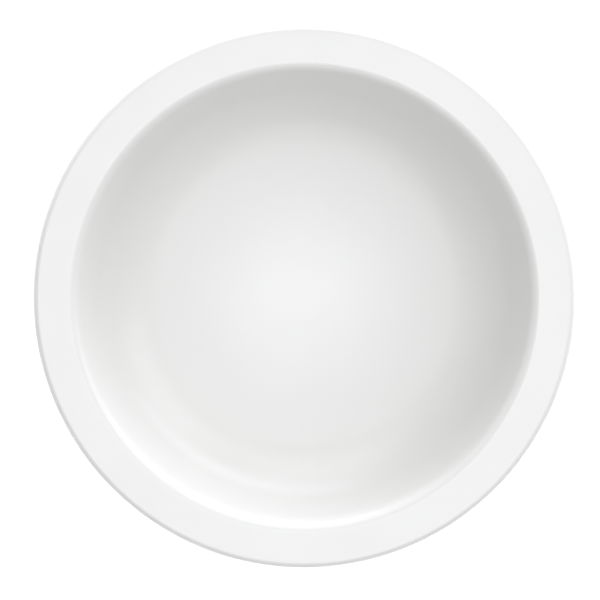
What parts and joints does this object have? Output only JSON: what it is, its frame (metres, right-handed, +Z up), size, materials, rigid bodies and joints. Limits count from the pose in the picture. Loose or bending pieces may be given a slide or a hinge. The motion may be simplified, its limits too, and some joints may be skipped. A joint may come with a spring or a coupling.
{
  "type": "evaporating dish",
  "caption": "Shallow round evaporating dish of white glazed porcelain with a wide flat rim, a smoothly dished well and a turned foot ring with a bare standing face.",
  "frame": {"origin": "middle of the standing plane, under the dish's axis", "axes": "+Z up along the axis of the dish, from the foot ring to the open rim; X and Y are any two square directions in the standing plane"},
  "size_m": [0.16, 0.16, 0.029],
  "materials": {
    "bare_porcelain": "fired, unglazed, matt with a fine grain",
    "inside_glaze": "smooth soft gloss, bright neutral white",
    "outside_glaze": "smooth soft gloss with faint turning rings",
    "recess_glaze": "smooth soft gloss, a little thicker in the corner of the foot"
  },
  "bodies": {
    "root": {"porcelain_body": "bare_porcelain", "inside_glaze": "inside_glaze", "outside_glaze": "outside_glaze", "recess_glaze": "recess_glaze"}
  },
  "joints": []
}
